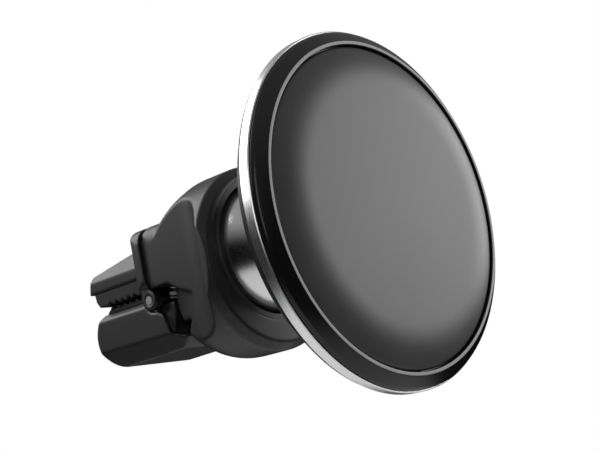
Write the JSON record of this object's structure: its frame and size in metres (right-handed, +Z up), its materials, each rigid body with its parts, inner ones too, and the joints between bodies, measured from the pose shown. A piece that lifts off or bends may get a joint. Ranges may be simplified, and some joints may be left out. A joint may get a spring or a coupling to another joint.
{
  "type": "car phone mount",
  "caption": "Magnetic car phone mount: round padded head in a polished metal ring, on a ball joint, with a sprung clip that bites an air vent blade.",
  "frame": {"origin": "middle of the line where the two jaws meet, on the vent blade", "axes": "+Y along the mount from the phone to the tips of the jaws, +Z up, +X across the jaws"},
  "size_m": [0.044, 0.0502, 0.044],
  "materials": {
    "pad_rubber": "matte dark grey silicone, soft pillow edge",
    "adhesive": "double-sided adhesive film",
    "gloss_black": "gloss black plastic",
    "polished_metal": "polished aluminium with cut edges",
    "magnet_nickel": "nickel plated",
    "plain_steel": "plain steel",
    "satin_black": "satin black plastic with a fine grain",
    "ball_metal": "fine turned and polished",
    "grey_plastic": "dark grey plastic",
    "seat_plastic": "natural acetal",
    "spring_steel": "spring steel",
    "grip_rubber": "matte black rubber"
  },
  "bodies": {
    "clip": {"socket_housing": "satin_black", "socket_ring": "grey_plastic", "ball_seat": "seat_plastic", "spring_washer": "spring_steel", "neck_screws": "plain_steel", "neck_gasket": "grip_rubber", "jaw_block": "satin_black", "upper_grip": "grip_rubber", "hinge_pin": "plain_steel", "spring_pins": "plain_steel", "jaw_springs": "spring_steel"},
    "ball_middle": {"ball_core": "plain_steel"},
    "ball_stud": {"ball": "ball_metal"},
    "head": {"front_pad": "pad_rubber", "pad_adhesive": "adhesive", "front_bezel": "gloss_black", "metal_ring": "polished_metal", "magnets": "magnet_nickel", "yoke_plate": "plain_steel", "back_cover": "satin_black", "cover_screws": "plain_steel", "ball_screw": "plain_steel"},
    "lower_jaw": {"lower_jaw": "satin_black", "lower_grip": "grip_rubber"}
  },
  "joints": [
    {"name": "head_pan", "type": "hinge", "parent": "clip", "child": "ball_middle", "pos_m": [0, -0.022, 0.002], "axis": [0, 0, 1], "range_deg": [-25, 25]},
    {"name": "head_tilt", "type": "hinge", "parent": "ball_middle", "child": "ball_stud", "pos_m": [0, -0.022, 0.002], "axis": [1, 0, 0], "range_deg": [-25, 25]},
    {"name": "head_spin", "type": "hinge", "parent": "ball_stud", "child": "head", "pos_m": [0, -0.022, 0.002], "axis": [0, 1, 0], "continuous": true},
    {"name": "jaw_open", "type": "hinge", "parent": "clip", "child": "lower_jaw", "pos_m": [0, -0.00755, -0.0012], "axis": [-1, 0, 0], "range_deg": [0, 18], "stiffness_Nm_per_rad": 0.03, "springref_deg": -34.38, "deforming": ["jaw_springs"]}
  ]
}
